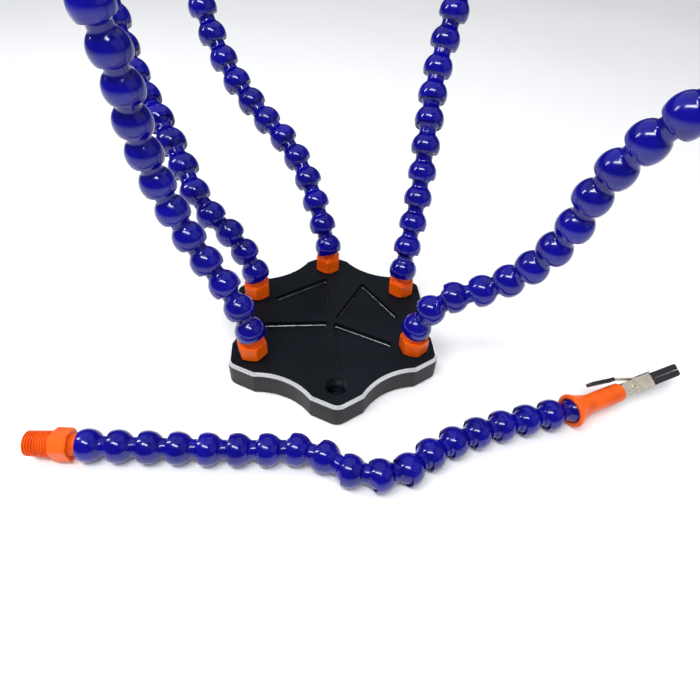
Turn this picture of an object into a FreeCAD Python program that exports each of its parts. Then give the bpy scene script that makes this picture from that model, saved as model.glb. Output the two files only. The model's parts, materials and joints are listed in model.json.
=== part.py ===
import FreeCAD, Part
import math
import os

# Helping hands for an electronics bench: a black lobed base plate with six threaded ports, five
# flexible ball-and-socket arms screwed into it, and a sixth arm lying unscrewed in front of it.
# Each arm is a threaded hex connector, a chain of snap-together links, and a holder that carries
# a crocodile clip.
#
# Frame: millimetres, +Z up, origin at the middle of the base on the bench, and -Y towards the
# front, where the empty port is. Arms are built standing on +Z and then placed link by link.

# ---- base plate -------------------------------------------------------------------------------
PORT_COUNT = 6
PORT_CIRCLE_RADIUS = 52.0
FRONT_PORT_ANGLE = -90.0
SIDE_MARGIN = 6.8            # from the port circle out to the flats of the outline's hexagon
HEX_APOTHEM = PORT_CIRCLE_RADIUS + SIDE_MARGIN
TIP_RADIUS = 7.0             # rounding of the six tips
SCOOP_HALF_WIDTH = 17.5      # each side of the hexagon is hollowed by an arc this wide each way
SCOOP_DEPTH = 4.5
PLATE_THICKNESS = 14.5
TOP_CHAMFER = 1.6
BOTTOM_CHAMFER = 0.5

PAD_THICKNESS = 1.2
PAD_PROUD = 0.5              # the pad stands this far below the plate and is what touches the bench
PAD_INSET = 7.0              # from the plate's outline
PAD_CLEARANCE = 0.15

POCKET_COUNT = 4
POCKET_START_ANGLE = 0.0
POCKET_WEDGE_ANGLE = 60.0
POCKET_MARGIN = 9.0          # from the port circle in to the far corners of the pocket wedges
POCKET_REACH = PORT_CIRCLE_RADIUS - POCKET_MARGIN
POCKET_WALL = 0.85           # the pocket keeps this far inside its wedge
POCKET_DEPTH = 3.0
POCKET_CORNER_RADIUS = 1.6
POCKET_FLOOR_RADIUS = 0.9

# ---- thread, a quarter-inch taper thread in a parallel port -----------------------------------
THREAD_PITCH = 1.337
THREAD_FLOOR = 2.4           # of the plate's thickness kept free of thread
THREAD_RIDGES = int((PLATE_THICKNESS - THREAD_FLOOR) / THREAD_PITCH)
THREAD_HEIGHT = 0.8
THREAD_CREST_RADIUS = 6.58   # at the hexagon, before the taper
THREAD_TAPER = 1.0 / 32.0    # radius lost for each millimetre away from the hexagon
CREST_HALF_FLAT = THREAD_PITCH / 8.0
THREAD_CLEARANCE = 0.12
PLAIN_SHANK = 1.1            # unthreaded length under the hexagon, all above the plate
RIDGE_LEAD = 0.8             # first ridge, in pitches below the plain shank
SHANK_UNDERCUT = 0.2         # height of the step from the shank to the thread's root
PORT_CREST_ROOM = 0.07       # between the port's crests and the connector's first root
PORT_MINOR_RADIUS = THREAD_CREST_RADIUS - THREAD_HEIGHT + PORT_CREST_ROOM
PORT_MOUTH_CHAMFER = 0.3
PORT_FLOOR_BEVEL = 0.6
PORT_FLOOR_ROOM = 0.85       # under the end of a fully screwed-in connector

# ---- links and connectors ---------------------------------------------------------------------
BALL_RADIUS = 6.8
BALL_CLEARANCE = 0.08
BALL_CUT_HEIGHT = 4.5        # the ball is cut flat this far past its centre
CUP_WALL = 1.37
CUP_LIP_DEPTH = 3.3          # the cup reaches this far back past the ball centre
LIP_BEVEL = 1.0
NECK_RADIUS = 4.8
NECK_BLEND = 2.0
BORE_RADIUS = 3.2
SOCKET_RADIUS = BALL_RADIUS + BALL_CLEARANCE
CUP_RADIUS = SOCKET_RADIUS + CUP_WALL
NECK_SHORTENING = 0.65       # the pitch is this much less than a cup and a ball end to end
LINK_PITCH = CUP_RADIUS + BALL_RADIUS - NECK_SHORTENING  # socket centre to ball centre, 14.4
LINKS_PER_ARM = 18
LOWER_LINKS = 9

HEX_PROUD = 1.14             # across the flats, more than across the thread
HEX_ACROSS_FLATS = 2 * THREAD_CREST_RADIUS + HEX_PROUD
HEX_LENGTH = 8.2
HEX_BEVEL = 0.46             # taken off the corners at both ends of the hexagon
HEX_GAP = 1.2                # left between the plate and the hexagon
COLLAR_RADIUS = 5.5
COLLAR_LENGTH = 0.4
NECK_LAND = 0.6              # the connector's ball clears the hexagon by this much
CONNECTOR_BALL_HEIGHT = HEX_LENGTH + BALL_RADIUS + NECK_LAND

# ---- clip holder, from the last ball centre ----------------------------------------------------
HOLDER_MOUTH_PROUD = 0.85    # beyond a link's cup
HOLDER_MOUTH_ROOM = 0.32     # so that the last ball swings further than the others
HOLDER_MOUTH_RADIUS = CUP_RADIUS + HOLDER_MOUTH_PROUD
HOLDER_MOUTH_OPENING = SOCKET_RADIUS + HOLDER_MOUTH_ROOM
HOLDER_LIP = 1.3
HOLDER_THROAT = 4.12         # from the top of the socket to where the flare meets the tube
HOLDER_FLARE_LENGTH = SOCKET_RADIUS + HOLDER_THROAT
FLARE_MIDDLE = (0.37, 0.4)   # the flare's middle, as shares of its width and its length
HOLDER_TUBE_RADIUS = 5.25
HOLDER_LENGTH = 32.0
HOLDER_END_RADIUS = 1.4
HOLDER_BORE_CLEARANCE = 0.1

# ---- crocodile clip, z along the arm and y along the rivet -------------------------------------
SHEET = 0.7
TAIL_RADIUS = 3.2
TAIL_GRIP = 12.0             # length of tail inside the holder
TAIL_SHOWING = 2.0
TAIL_START = HOLDER_LENGTH - TAIL_GRIP
RIVET_BEYOND_HOLDER = 8.5
RIVET_Z = HOLDER_LENGTH + RIVET_BEYOND_HOLDER
CHEEK_HALF_SPAN = 4.0
CHEEK_LENGTH = 13.5          # from the rivet forwards
CHEEK_FRONT = RIVET_Z + CHEEK_LENGTH
CHEEK_OVERLAP = 1.5          # the cheeks reach back this far into the line of the tail
JAW_BITE = 0.5               # half the gap between the steel jaws when the sleeves touch
JAW_OUTER = 3.0
JAW_HALF_WIDTH = 2.1
JAW_LENGTH = 19.0
JAW_TIP = CHEEK_FRONT + JAW_LENGTH
CHEEK_PLAY = 0.1             # between the two pairs of cheeks
RIVET_RADIUS = 0.95
RIVET_PLAY = 0.05
RIVET_HEAD_RADIUS = 1.7
RIVET_HEAD_HEIGHT = 0.5
RIVET_BORE_RADIUS = 0.6
RIVET_MARGIN = 0.6           # of the inner cheeks round the rivet's head
LEVER_HALF_WIDTH = 2.2
LEVER_ROOT_Z = RIVET_Z + 5.0
ELBOW_GAP = 1.9              # from the holder's tube to the lever's bend
ELBOW_RISE = 1.0             # of the bend past the end of the holder
LEVER_GAP = 4.0              # from the holder's tube to the lever's free end
LEVER_REACH = 15.7           # back past the end of the holder
LEVER_ELBOW = (HOLDER_TUBE_RADIUS + ELBOW_GAP, HOLDER_LENGTH + ELBOW_RISE)  # x and z
LEVER_END = (HOLDER_TUBE_RADIUS + LEVER_GAP, HOLDER_LENGTH - LEVER_REACH)
SPRING_WIRE_RADIUS = 0.28
SPRING_COIL_RADIUS = 1.9
SPRING_TURNS = 3
SPRING_PITCH = 0.7
SPRING_LEGS = (3.4, 4.0)     # lengths
SLEEVE_WALL = 0.62
SLEEVE_PLAY = 0.08
SLEEVE_OVERHANG = 2.0        # of rubber past the jaw's tip
SLEEVE_SETBACK = 0.9         # from the front of the cheeks
SLEEVE_TIP = JAW_TIP + SLEEVE_OVERHANG
SLEEVE_START = CHEEK_FRONT + SLEEVE_SETBACK
SLEEVE_TIP_CHAMFER = 1.4
SLEEVE_ROUNDING = 0.9        # of its long edges, as a share of the wall
TONGUE_START = RIVET_Z + 6.0
LEVER_SLEEVE_LENGTH = 14.8

# ---- how the arms stand -------------------------------------------------------------------------
# Each run is (links, lean step, sweep step). The lean is the tilt away from the vertical towards
# the arm's heading, the sweep is the turn to the left of it, and both grow by their step, in
# degrees, at every link of the run.
STANDING_ARMS = {
    "front_left_arm": (5, [(1, 10, -20), (2, 6, -6), (3, -3, 8), (3, -3, 7), (5, 3, -4), (4, 6, -3)]),
    "back_left_arm": (4, [(1, 21, 5), (2, 6, 7), (2, 4, -19), (3, 5, -1), (4, -8, 0), (6, -3, 4)]),
    "back_arm": (3, [(1, 17, 14), (2, 10, 2), (3, 3, 8), (2, -2, -3), (4, -6, -6), (6, -2, -3)]),
    "back_right_arm": (2, [(2, 13, 9), (3, -3, 0), (2, 9, 7), (4, -3, -7), (7, -2, -2)]),
    "front_right_arm": (1, [(3, 22, 7), (2, -15, -12), (3, -9, 0), (3, 8, -3), (7, -3, 2)]),
}
# How far round each connector stops when it is screwed home, in degrees.
CONNECTOR_TURNS = {
    "front_left_arm": -10.0,
    "back_left_arm": 30.0,
    "back_arm": 25.0,
    "back_right_arm": 22.0,
    "front_right_arm": -20.0,
}
# The last link of the loose arm tips up, because the holder's mouth is wider than the cups.
LOOSE_ARM_RUNS = [
    (4, 0, 0),
    (3, 0, 1),
    (2, 0, -17),
    (3, 0, 23),
    (3, 0, -6),
    (2, 0, -2),
    (1, -4, -2),
]
LOOSE_ARM_LEFT = 70.0        # start of the loose arm, out from the port circle
LOOSE_ARM_AHEAD = 27.0
LOOSE_ARM_START = (-PORT_CIRCLE_RADIUS - LOOSE_ARM_LEFT, -PORT_CIRCLE_RADIUS - LOOSE_ARM_AHEAD)
LOOSE_ARM_SWEEP = -5.0
LOOSE_HOLDER_SWEEP_STEP = 11.0
LYING_LEAN = 90.0
LOOSE_CLIP_ROLL = 26.0       # the clip's lever is tipped up by this much about the arm

OVERCUT = 1.0                # cutting solids reach this far outside what they cut

UP = FreeCAD.Vector(0, 0, 1)
ORIGIN = FreeCAD.Vector(0, 0, 0)


# ---- drawing helpers ----------------------------------------------------------------------------
def polar(radius, angle, z=0.0):
    return FreeCAD.Vector(
        radius * math.cos(math.radians(angle)), radius * math.sin(math.radians(angle)), z
    )


def turned(start, *moves):
    """A solid turned about Z. Points are (r, z); a move of four numbers is an arc through the
    first two to the last two, and the outline closes on its start."""
    here = FreeCAD.Vector(start[0], 0, start[1])
    first = here
    edges = []
    for move in moves + (start,):
        there = FreeCAD.Vector(move[-2], 0, move[-1])
        if len(move) == 4:
            middle = FreeCAD.Vector(move[0], 0, move[1])
            edges.append(Part.Arc(here, middle, there).toShape())
        elif here.distanceToPoint(there) > 1e-6:
            edges.append(Part.makeLine(here, there))
        here = there
    assert here.distanceToPoint(first) < 1e-6
    return Part.Face(Part.Wire(edges)).revolve(ORIGIN, UP, 360)


def ball_arc(centre_z, radius, z_from, z_to):
    """An arc move on a ball's outline between two heights."""
    start = math.asin((z_from - centre_z) / radius)
    end = math.asin((z_to - centre_z) / radius)
    middle = (start + end) / 2
    return (
        radius * math.cos(middle),
        centre_z + radius * math.sin(middle),
        radius * math.cos(end),
        centre_z + radius * math.sin(end),
    )


def prism(points, y_from, y_to):
    """A plate with an outline of (x, z) points, between two y planes."""
    corners = [FreeCAD.Vector(x, y_from, z) for x, z in points]
    face = Part.Face(Part.makePolygon(corners + corners[:1]))
    return face.extrude(FreeCAD.Vector(0, y_to - y_from, 0))


def box(x_from, x_to, half_width, z_from, z_to):
    return Part.makeBox(
        x_to - x_from, 2 * half_width, z_to - z_from, FreeCAD.Vector(x_from, -half_width, z_from)
    )


def strip(start, end, half_thickness, half_width, past_start=0.0, past_end=0.0):
    """A flat bar whose middle runs between two (x, z) points."""
    dx = end[0] - start[0]
    dz = end[1] - start[1]
    length = math.hypot(dx, dz)
    bar = box(-half_thickness, half_thickness, half_width, -past_start, length + past_end)
    bar.rotate(ORIGIN, FreeCAD.Vector(0, 1, 0), math.degrees(math.atan2(dx, dz)))
    bar.translate(FreeCAD.Vector(start[0], 0, start[1]))
    return bar


def rivet_cylinder(radius, y_from, y_to):
    start = FreeCAD.Vector(0, y_from, RIVET_Z)
    return Part.makeCylinder(radius, y_to - y_from, start, FreeCAD.Vector(0, 1, 0))


# ---- base ---------------------------------------------------------------------------------------
def port_angle(index):
    return FRONT_PORT_ANGLE + index * 360.0 / PORT_COUNT


def base_outline(inset, z):
    """The six-lobed outline: a hexagon with rounded tips and hollowed sides."""
    half_step = 180.0 / PORT_COUNT
    apothem = HEX_APOTHEM - inset
    tip_centre_radius = (apothem - TIP_RADIUS) / math.cos(math.radians(half_step))
    edges = []
    for index in range(PORT_COUNT):
        tip = port_angle(index)
        tip_centre = polar(tip_centre_radius, tip, z)
        side = tip + half_step
        along = polar(1.0, side + 90.0)
        tip_arc = [tip_centre + polar(TIP_RADIUS, tip + turn) for turn in (-half_step, 0, half_step)]
        scoop_start = polar(apothem, side, z) - along * SCOOP_HALF_WIDTH
        scoop_middle = polar(apothem - SCOOP_DEPTH, side, z)
        scoop_end = polar(apothem, side, z) + along * SCOOP_HALF_WIDTH
        next_centre = polar(tip_centre_radius, port_angle(index + 1), z)
        next_tip = next_centre + polar(TIP_RADIUS, side)
        edges.append(Part.Arc(*tip_arc).toShape())
        edges.append(Part.makeLine(tip_arc[2], scoop_start))
        edges.append(Part.Arc(scoop_start, scoop_middle, scoop_end).toShape())
        edges.append(Part.makeLine(scoop_end, next_tip))
    return Part.Face(Part.Wire(edges))


def flat_edges(solid, z):
    """The edges of a solid that lie in one horizontal plane."""
    found = []
    for edge in solid.Edges:
        bounds = edge.BoundBox
        if abs(bounds.ZMin - z) < 1e-4 and abs(bounds.ZMax - z) < 1e-4:
            found.append(edge)
    return found


def pocket_cutter(plate_top, angle):
    """A triangular pocket whose walls keep inside one wedge of the plate."""
    side = POCKET_REACH - 2 * math.sqrt(3) * POCKET_WALL
    apex = polar(2 * POCKET_WALL, angle + POCKET_WEDGE_ANGLE / 2, plate_top - POCKET_DEPTH)
    corners = [apex, apex + polar(side, angle), apex + polar(side, angle + POCKET_WEDGE_ANGLE)]
    face = Part.Face(Part.makePolygon(corners + corners[:1]))
    cutter = face.extrude(UP * (POCKET_DEPTH + OVERCUT))
    upright = [e for e in cutter.Edges if e.BoundBox.ZLength > POCKET_DEPTH]
    cutter = cutter.makeFillet(POCKET_CORNER_RADIUS, upright)
    return cutter.makeFillet(POCKET_FLOOR_RADIUS, flat_edges(cutter, plate_top - POCKET_DEPTH))


def ridge_heights():
    """Middles of the thread's ridges, below the underside of the hexagon."""
    first = -(PLAIN_SHANK + RIDGE_LEAD * THREAD_PITCH)
    return [first - turn * THREAD_PITCH for turn in range(THREAD_RIDGES)]


def port_depth():
    last_ridge = ridge_heights()[-1]
    return PORT_FLOOR_ROOM - HEX_GAP - last_ridge + THREAD_PITCH / 2 - CREST_HALF_FLAT


def port_cutter():
    """The hollow of one port, with its mouth at z = 0."""
    groove_radius = THREAD_CREST_RADIUS - PLAIN_SHANK * THREAD_TAPER + THREAD_CLEARANCE
    floor_half = CREST_HALF_FLAT + THREAD_CLEARANCE
    slope = (THREAD_PITCH / 2 - 2 * CREST_HALF_FLAT) / THREAD_HEIGHT
    mouth_half = floor_half + (groove_radius - PORT_MINOR_RADIUS) * slope
    points = [
        (PORT_MINOR_RADIUS + PORT_MOUTH_CHAMFER + OVERCUT, OVERCUT),
        (PORT_MINOR_RADIUS, -PORT_MOUTH_CHAMFER),
    ]
    for height in ridge_heights():
        middle = HEX_GAP + height
        points.append((PORT_MINOR_RADIUS, middle + mouth_half))
        points.append((groove_radius, middle + floor_half))
        points.append((groove_radius, middle - floor_half))
        points.append((PORT_MINOR_RADIUS, middle - mouth_half))
    floor = -port_depth()
    points.append((PORT_MINOR_RADIUS, floor + PORT_FLOOR_BEVEL))
    points.append((PORT_MINOR_RADIUS - PORT_FLOOR_BEVEL, floor))
    points.append((0, floor))
    return turned((0, OVERCUT), *points)


def base_plate():
    bottom = PAD_PROUD
    top = PAD_PROUD + PLATE_THICKNESS
    plate = base_outline(0, bottom).extrude(UP * PLATE_THICKNESS)
    plate = plate.makeChamfer(TOP_CHAMFER, flat_edges(plate, top))
    plate = plate.makeChamfer(BOTTOM_CHAMFER, flat_edges(plate, bottom))
    for index in range(POCKET_COUNT):
        angle = POCKET_START_ANGLE + index * 360.0 / POCKET_COUNT
        plate = plate.cut(pocket_cutter(top, angle))
    port = port_cutter()
    for index in range(PORT_COUNT):
        hollow = port.copy()
        hollow.translate(polar(PORT_CIRCLE_RADIUS, port_angle(index), top))
        plate = plate.cut(hollow)
    recess_height = PAD_THICKNESS - PAD_PROUD + OVERCUT
    recess = base_outline(PAD_INSET, bottom - OVERCUT).extrude(UP * recess_height)
    return plate.cut(recess)


def anti_slip_pad():
    return base_outline(PAD_INSET + PAD_CLEARANCE, 0).extrude(UP * PAD_THICKNESS)


# ---- connector and link -------------------------------------------------------------------------
def crest_radius(z):
    return THREAD_CREST_RADIUS + z * THREAD_TAPER


def neck_and_ball(centre_z):
    """The outline from the neck, over the ball, to the bore at its cut top."""
    neck_top = centre_z - math.sqrt(BALL_RADIUS**2 - NECK_RADIUS**2)
    return [
        (NECK_RADIUS, neck_top),
        ball_arc(centre_z, BALL_RADIUS, neck_top, centre_z + BALL_CUT_HEIGHT),
        (BORE_RADIUS, centre_z + BALL_CUT_HEIGHT),
    ]


def connector():
    """Thread, hexagon, collar and ball, with the hexagon's underside at z = 0."""
    root_half = THREAD_PITCH / 2 - CREST_HALF_FLAT
    points = []
    for z in reversed(ridge_heights()):
        crest = crest_radius(z)
        root = crest - THREAD_HEIGHT
        points.append((root, z - root_half))
        points.append((crest, z - CREST_HALF_FLAT))
        points.append((crest, z + CREST_HALF_FLAT))
        points.append((root, z + root_half))
    thread_end = points[0][1]
    shank_end = crest_radius(-PLAIN_SHANK)
    points.append((shank_end - THREAD_HEIGHT, -PLAIN_SHANK - SHANK_UNDERCUT))
    points.append((shank_end, -PLAIN_SHANK))
    points.append((THREAD_CREST_RADIUS, 0))
    hex_radius = HEX_ACROSS_FLATS / math.sqrt(3)
    corner_radius = hex_radius - HEX_BEVEL
    blank = turned(
        (BORE_RADIUS, 0),
        (corner_radius, 0),
        (hex_radius, HEX_BEVEL),
        (hex_radius, HEX_LENGTH - HEX_BEVEL),
        (corner_radius, HEX_LENGTH),
        (BORE_RADIUS, HEX_LENGTH),
    )
    corners = [polar(hex_radius, index * 60.0) for index in range(7)]
    hexagon = Part.Face(Part.makePolygon(corners)).extrude(UP * HEX_LENGTH).common(blank)
    thread = turned((BORE_RADIUS, thread_end), *points, (BORE_RADIUS, 0))
    collar_top = HEX_LENGTH + COLLAR_LENGTH
    top = turned(
        (BORE_RADIUS, HEX_LENGTH),
        (COLLAR_RADIUS, HEX_LENGTH),
        (COLLAR_RADIUS, collar_top),
        (NECK_RADIUS, collar_top + COLLAR_RADIUS - NECK_RADIUS),
        *neck_and_ball(CONNECTOR_BALL_HEIGHT),
    )
    return thread.fuse([hexagon, top]).removeSplitter()


def socket(bore_radius):
    """The outline of the seat for a ball at the origin, from the bore back to the bevelled lip."""
    bore_z = math.sqrt(SOCKET_RADIUS**2 - bore_radius**2)
    lip_z = LIP_BEVEL - CUP_LIP_DEPTH
    return [(bore_radius, bore_z), ball_arc(0, SOCKET_RADIUS, bore_z, lip_z)]


def link():
    """A cup round the origin and a ball one pitch above it, bored through."""
    rim_radius = math.sqrt(CUP_RADIUS**2 - CUP_LIP_DEPTH**2)
    shoulder_z = math.sqrt((CUP_RADIUS + NECK_BLEND) ** 2 - (NECK_RADIUS + NECK_BLEND) ** 2)
    touch = CUP_RADIUS / (CUP_RADIUS + NECK_BLEND)
    touch_z = shoulder_z * touch
    blend_angle = math.atan2(shoulder_z, NECK_RADIUS + NECK_BLEND) / 2
    blend_middle = (
        NECK_RADIUS + NECK_BLEND - NECK_BLEND * math.cos(blend_angle),
        shoulder_z - NECK_BLEND * math.sin(blend_angle),
    )
    return turned(
        (rim_radius, -CUP_LIP_DEPTH),
        ball_arc(0, CUP_RADIUS, -CUP_LIP_DEPTH, touch_z),
        (*blend_middle, NECK_RADIUS, shoulder_z),
        *neck_and_ball(LINK_PITCH),
        *socket(BORE_RADIUS),
    )


# ---- clip holder and clip -----------------------------------------------------------------------
def clip_holder():
    """A trumpet-mouthed cup for the last ball, and the tube that grips the clip's tail."""
    mouth_z = -CUP_LIP_DEPTH
    lip_top = mouth_z + HOLDER_LIP
    tube_bore = TAIL_RADIUS + HOLDER_BORE_CLEARANCE
    end = HOLDER_LENGTH
    corner = HOLDER_END_RADIUS * (1 - math.sqrt(0.5))
    across, along = FLARE_MIDDLE
    middle = HOLDER_TUBE_RADIUS + (HOLDER_MOUTH_RADIUS - HOLDER_TUBE_RADIUS) * across
    return turned(
        (HOLDER_MOUTH_OPENING, mouth_z),
        (HOLDER_MOUTH_RADIUS - HOLDER_LIP / 2, mouth_z),
        (HOLDER_MOUTH_RADIUS, mouth_z + HOLDER_LIP / 2),
        (HOLDER_MOUTH_RADIUS, lip_top),
        (middle, HOLDER_FLARE_LENGTH * along, HOLDER_TUBE_RADIUS, HOLDER_FLARE_LENGTH),
        (HOLDER_TUBE_RADIUS, end - HOLDER_END_RADIUS),
        (
            HOLDER_TUBE_RADIUS - corner,
            end - corner,
            HOLDER_TUBE_RADIUS - HOLDER_END_RADIUS,
            end,
        ),
        (tube_bore, end),
        *socket(tube_bore),
    )


def jaw_channel():
    """A steel jaw on the +X side: a channel open towards the bite."""
    outer = box(JAW_BITE, JAW_OUTER, JAW_HALF_WIDTH, CHEEK_FRONT - SHEET, JAW_TIP)
    inner = box(0, JAW_OUTER - SHEET, JAW_HALF_WIDTH - SHEET, CHEEK_FRONT, JAW_TIP - SHEET)
    return outer.cut(inner)


def fixed_jaw():
    """Tail, cheeks, spine and the jaw on the -X side, folded from one sheet."""
    tail_end = HOLDER_LENGTH + TAIL_SHOWING
    tail = Part.makeCylinder(TAIL_RADIUS, tail_end - TAIL_START, FreeCAD.Vector(0, 0, TAIL_START))
    hollow = Part.makeCylinder(
        TAIL_RADIUS - SHEET, tail_end - TAIL_START, FreeCAD.Vector(0, 0, TAIL_START)
    )
    back = tail_end - CHEEK_OVERLAP
    side = CHEEK_HALF_SPAN
    outline = [
        (-side, back + 1.0),
        (-side + 1.0, back),
        (side - 1.5, back),
        (side - 0.2, back + 2.5),
        (side, CHEEK_FRONT - 4.0),
        (side - 1.2, CHEEK_FRONT - 1.0),
        (side - 3.0, CHEEK_FRONT),
        (-side, CHEEK_FRONT),
    ]
    cheeks = [
        prism(outline, TAIL_RADIUS - SHEET, TAIL_RADIUS),
        prism(outline, -TAIL_RADIUS, SHEET - TAIL_RADIUS),
    ]
    spine = box(-side, SHEET - side, TAIL_RADIUS, back + 1.0, CHEEK_FRONT)
    front = box(-side, -JAW_BITE, TAIL_RADIUS, CHEEK_FRONT - SHEET, CHEEK_FRONT)
    jaw = jaw_channel().mirror(ORIGIN, FreeCAD.Vector(1, 0, 0))
    sheet = tail.cut(hollow).fuse(cheeks + [spine, front, jaw])
    bore = rivet_cylinder(RIVET_RADIUS + RIVET_PLAY, -TAIL_RADIUS, TAIL_RADIUS)
    return sheet.cut(bore).removeSplitter()


def moving_jaw():
    """Inner cheeks, back, jaw on the +X side and the thumb lever, folded from one sheet."""
    outside = TAIL_RADIUS - SHEET - CHEEK_PLAY
    side = CHEEK_HALF_SPAN
    reach = RIVET_HEAD_RADIUS + RIVET_MARGIN
    lever_root = (side - SHEET / 2, LEVER_ROOT_Z)
    outline = [
        (-reach, RIVET_Z - 1.0),
        (-1.0, RIVET_Z - reach),
        (2.0, RIVET_Z - reach),
        (side - SHEET / 2, RIVET_Z + 3.0),
        (side, LEVER_ROOT_Z),
        (side, CHEEK_FRONT - 0.8),
        (JAW_BITE, CHEEK_FRONT - 0.8),
        (-reach, RIVET_Z + 2.0),
    ]
    cheeks = [
        prism(outline, outside - SHEET, outside),
        prism(outline, -outside, SHEET - outside),
    ]
    back = box(side - SHEET, side, outside, RIVET_Z + 4.5, CHEEK_FRONT)
    front = box(JAW_BITE, side, outside, CHEEK_FRONT - SHEET, CHEEK_FRONT)
    link_strip = strip(lever_root, LEVER_ELBOW, SHEET / 2, LEVER_HALF_WIDTH, 0.0, SHEET / 4)
    lever = strip(LEVER_ELBOW, LEVER_END, SHEET / 2, LEVER_HALF_WIDTH, SHEET / 4, 0.0)
    sheet = cheeks[0].fuse([cheeks[1], back, front, jaw_channel(), link_strip, lever])
    bore = rivet_cylinder(RIVET_RADIUS + RIVET_PLAY, -TAIL_RADIUS, TAIL_RADIUS)
    return sheet.cut(bore).removeSplitter()


def rivet():
    reach = TAIL_RADIUS + RIVET_PLAY
    shank = rivet_cylinder(RIVET_RADIUS, -reach, reach)
    heads = [
        rivet_cylinder(RIVET_HEAD_RADIUS, reach, reach + RIVET_HEAD_HEIGHT),
        rivet_cylinder(RIVET_HEAD_RADIUS, -reach - RIVET_HEAD_HEIGHT, -reach),
    ]
    hollow = rivet_cylinder(RIVET_BORE_RADIUS, -2 * reach, 2 * reach)
    return shank.fuse(heads).cut(hollow).removeSplitter()


def spring():
    """The torsion spring round the rivet, with one leg to the spine and one to the lever."""
    height = SPRING_TURNS * SPRING_PITCH
    helix = Part.makeHelix(SPRING_PITCH, height, SPRING_COIL_RADIUS)
    start = FreeCAD.Vector(SPRING_COIL_RADIUS, 0, 0)
    section = Part.Wire(Part.makeCircle(SPRING_WIRE_RADIUS, start, FreeCAD.Vector(0, 1, 0)))
    coil = Part.Wire(helix.Edges).makePipeShell([section], True, True)
    legs = [
        Part.makeCylinder(SPRING_WIRE_RADIUS, SPRING_LEGS[0], start, FreeCAD.Vector(0.5, 1, 0)),
        Part.makeCylinder(
            SPRING_WIRE_RADIUS, SPRING_LEGS[1], start + UP * height, FreeCAD.Vector(-0.55, -1, 0)
        ),
    ]
    wound = coil.fuse(legs)
    wound.translate(UP * (-height / 2))
    wound.rotate(ORIGIN, FreeCAD.Vector(1, 0, 0), -90)
    wound.translate(UP * RIVET_Z)
    return wound


def jaw_sleeve(tongue):
    """The rubber boot on the +X jaw; the tongue runs back along the moving jaw's spine."""
    outer_x = JAW_OUTER + SLEEVE_PLAY + SLEEVE_WALL
    half_width = JAW_HALF_WIDTH + SLEEVE_PLAY + SLEEVE_WALL
    boot = box(SLEEVE_PLAY, outer_x, half_width, SLEEVE_START, SLEEVE_TIP)
    tip_edges = flat_edges(boot, SLEEVE_TIP)
    far_tip = [e for e in tip_edges if e.CenterOfMass.x > outer_x - 0.01]
    boot = boot.makeChamfer(SLEEVE_TIP_CHAMFER, far_tip)
    long_edges = [
        e
        for e in boot.Edges
        if e.BoundBox.ZLength > 10.0 and e.CenterOfMass.x > outer_x - 0.01
    ]
    boot = boot.makeFillet(SLEEVE_WALL * SLEEVE_ROUNDING, long_edges)
    if tongue:
        boot = boot.fuse(
            box(
                CHEEK_HALF_SPAN + SLEEVE_PLAY,
                CHEEK_HALF_SPAN + SLEEVE_PLAY + SLEEVE_WALL,
                LEVER_HALF_WIDTH,
                TONGUE_START,
                SLEEVE_START,
            )
        )
        boot = boot.fuse(
            box(
                JAW_OUTER + SLEEVE_PLAY,
                CHEEK_HALF_SPAN + SLEEVE_PLAY + SLEEVE_WALL,
                LEVER_HALF_WIDTH,
                CHEEK_FRONT + SLEEVE_PLAY,
                SLEEVE_START + SLEEVE_WALL,
            )
        )
    room = box(
        JAW_BITE - SLEEVE_PLAY,
        JAW_OUTER + SLEEVE_PLAY,
        JAW_HALF_WIDTH + SLEEVE_PLAY,
        CHEEK_FRONT,
        JAW_TIP + SLEEVE_PLAY,
    )
    return boot.cut(room).removeSplitter()


def lever_sleeve():
    inside = SHEET / 2 + SLEEVE_PLAY
    half_width = LEVER_HALF_WIDTH + SLEEVE_PLAY
    length = math.hypot(LEVER_END[0] - LEVER_ELBOW[0], LEVER_END[1] - LEVER_ELBOW[1])
    start = LEVER_SLEEVE_LENGTH - length
    outer = strip(
        LEVER_ELBOW, LEVER_END, inside + SLEEVE_WALL, half_width + SLEEVE_WALL, start, SLEEVE_WALL
    )
    room = strip(LEVER_ELBOW, LEVER_END, inside, half_width, 0.0, SLEEVE_PLAY)
    return outer.cut(room)


# ---- placing the arms ---------------------------------------------------------------------------
def direction(heading, lean, sweep):
    """The way a link points, from the arm's heading, its lean and its sweep to the left."""
    ahead = polar(1.0, heading)
    left = polar(1.0, heading + 90.0)
    lean = math.radians(lean)
    sweep = math.radians(sweep)
    flat = math.cos(sweep)
    return ahead * (math.sin(lean) * flat) + left * math.sin(sweep) + UP * (math.cos(lean) * flat)


def arm_stations(start, heading, lean, sweep, runs):
    """Each link's ball-joint centre and direction, with the far end of the last link at the end."""
    point = start
    stations = []
    for links, lean_step, sweep_step in runs:
        for _ in range(links):
            lean += lean_step
            sweep += sweep_step
            way = direction(heading, lean, sweep)
            stations.append((point, way))
            point = point + way * LINK_PITCH
    assert len(stations) == LINKS_PER_ARM
    stations.append((point, way))
    return stations


def placed(shape, placement):
    moved = shape.copy()
    moved.Placement = placement * shape.Placement
    return moved


def aim(shape, point, way):
    return placed(shape, FreeCAD.Placement(point, FreeCAD.Rotation(UP, way)))


def clip_frame(point, way, lever_side):
    """The clip's placement: z along the arm, and x, where the lever is, towards lever_side."""
    across = lever_side - way * lever_side.dot(way)
    across.normalize()
    rivet_way = way.cross(across)
    return FreeCAD.Placement(point, FreeCAD.Rotation(across, rivet_way, way, "ZXY"))


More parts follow.
